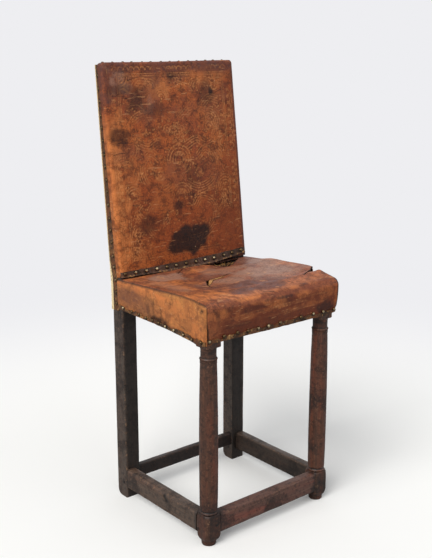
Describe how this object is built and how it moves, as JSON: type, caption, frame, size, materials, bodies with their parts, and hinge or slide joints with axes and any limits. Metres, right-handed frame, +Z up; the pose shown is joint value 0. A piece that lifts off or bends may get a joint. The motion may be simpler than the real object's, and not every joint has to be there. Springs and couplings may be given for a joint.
{
  "type": "side chair",
  "caption": "Tall side chair with a leather-covered seat and raked back, turned column front legs and a low box of stretchers, pegged and nailed together.",
  "frame": {"origin": "on the floor, at the middle of the chair's bounding box", "axes": "+Z up, -Y the way the chair faces, +X to the right as seen by someone facing the chair's front"},
  "size_m": [0.4192, 0.4266, 1.1],
  "materials": {
    "turned_wood": "worn waxed red-brown hardwood, turned",
    "frame_wood": "worn waxed dark brown hardwood with rubbed edges",
    "dark_wood": "old dark brown hardwood, nearly black, planed flat",
    "seat_leather": "old cracked cowhide, worn and stained, low sheen",
    "back_leather": "old tooled cowhide, mottled orange-brown, low sheen",
    "rear_leather": "plain untooled hide, pale tan, matt",
    "strip_leather": "dark leather edging, greasy and worn",
    "brass_nails": "domed brass nail heads, tarnished, rubbed bright on top",
    "webbing": "coarse undyed hemp and linen",
    "stuffing": "packed horsehair and grass"
  },
  "bodies": {
    "root": {"back_base_strip": "strip_leather", "back_front_leather": "back_leather", "back_left_strip": "strip_leather", "back_linen": "webbing", "back_padding": "stuffing", "back_rear_leather": "rear_leather", "back_right_strip": "strip_leather", "back_top_strip": "strip_leather", "crest_rail": "frame_wood", "crest_rail_peg_left": "frame_wood", "crest_rail_peg_right": "frame_wood", "front_leg_left": "turned_wood", "front_leg_right": "turned_wood", "front_seat_rail": "frame_wood", "front_seat_rail_peg_left": "frame_wood", "front_seat_rail_peg_right": "frame_wood", "front_stretcher": "frame_wood", "front_stretcher_peg_left": "frame_wood", "front_stretcher_peg_right": "frame_wood", "left_seat_rail": "frame_wood", "left_seat_rail_peg_front": "frame_wood", "left_seat_rail_peg_rear": "frame_wood", "left_stretcher": "frame_wood", "left_stretcher_peg_front": "frame_wood", "left_stretcher_peg_rear": "frame_wood", "lower_back_rail": "frame_wood", "lower_back_rail_peg_left": "frame_wood", "lower_back_rail_peg_right": "frame_wood", "rear_leg_left": "dark_wood", "rear_leg_right": "dark_wood", "rear_seat_rail": "frame_wood", "rear_seat_rail_peg_left": "frame_wood", "rear_seat_rail_peg_right": "frame_wood", "rear_stretcher": "frame_wood", "rear_stretcher_peg_left": "frame_wood", "rear_stretcher_peg_right": "frame_wood", "right_seat_rail": "frame_wood", "right_seat_rail_peg_front": "frame_wood", "right_seat_rail_peg_rear": "frame_wood", "right_stretcher": "frame_wood", "right_stretcher_peg_front": "frame_wood", "right_stretcher_peg_rear": "frame_wood", "seat_front_strip": "strip_leather", "seat_left_leather": "seat_leather", "seat_left_strip": "strip_leather", "seat_right_leather": "seat_leather", "seat_right_strip": "strip_leather", "seat_sackcloth": "webbing", "seat_strap_cross_1": "webbing", "seat_strap_cross_2": "webbing", "seat_strap_cross_3": "webbing", "seat_strap_long_1": "webbing", "seat_strap_long_2": "webbing", "seat_strap_long_3": "webbing", "seat_stuffing": "stuffing", "seat_top_leather": "seat_leather"}
  },
  "joints": []
}
